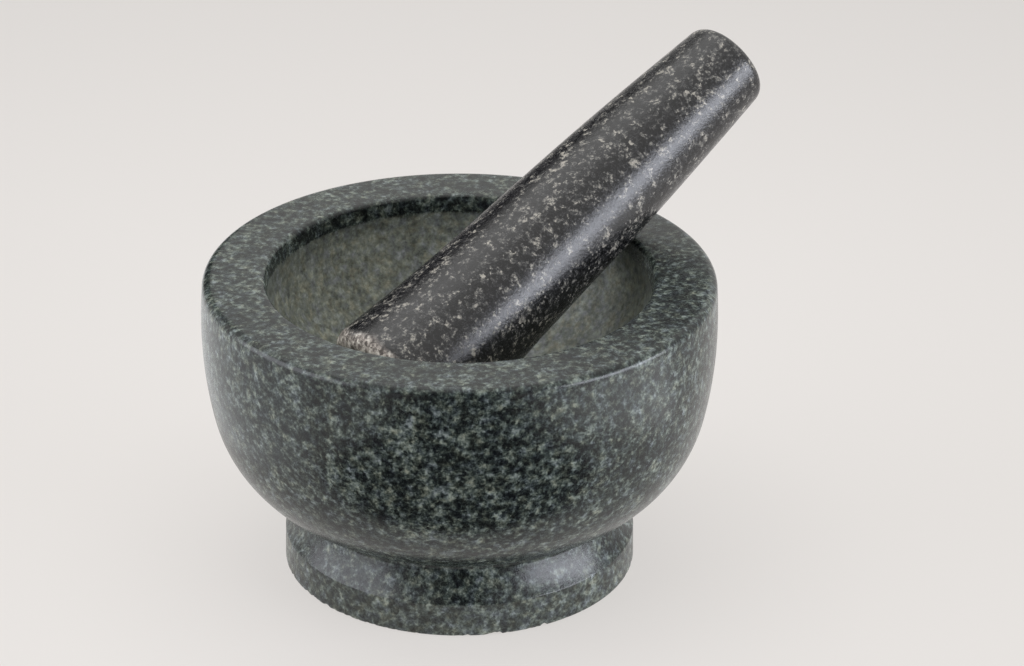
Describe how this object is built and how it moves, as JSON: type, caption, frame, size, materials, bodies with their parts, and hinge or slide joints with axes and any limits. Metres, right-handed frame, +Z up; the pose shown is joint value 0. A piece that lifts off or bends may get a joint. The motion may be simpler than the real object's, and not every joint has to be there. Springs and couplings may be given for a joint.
{
  "type": "mortar and pestle",
  "caption": "Turned polished granite mortar on a low round foot, with a loose tapered granite pestle leaning in its bowl.",
  "frame": {"origin": "centre of the flat underside of the mortar's foot", "axes": "+Z up the mortar's own axis; the pestle leans up towards +X and +Y, away from a viewer who looks along +Y"},
  "size_m": [0.1986, 0.1814, 0.1743],
  "materials": {
    "mortar_stone": "polished green-grey granite with pale flecks, ground matte inside the bowl",
    "pestle_stone": "polished near-black granite with pale flecks, left rough and paler on the grinding end"
  },
  "bodies": {
    "mortar": {"mortar": "mortar_stone"},
    "pestle": {"pestle": "pestle_stone"}
  },
  "joints": [
    {"name": "pestle_lift_out", "type": "slide", "parent": "mortar", "child": "pestle", "axis": [0, 0, 1], "range_m": [0, 0.09]}
  ]
}
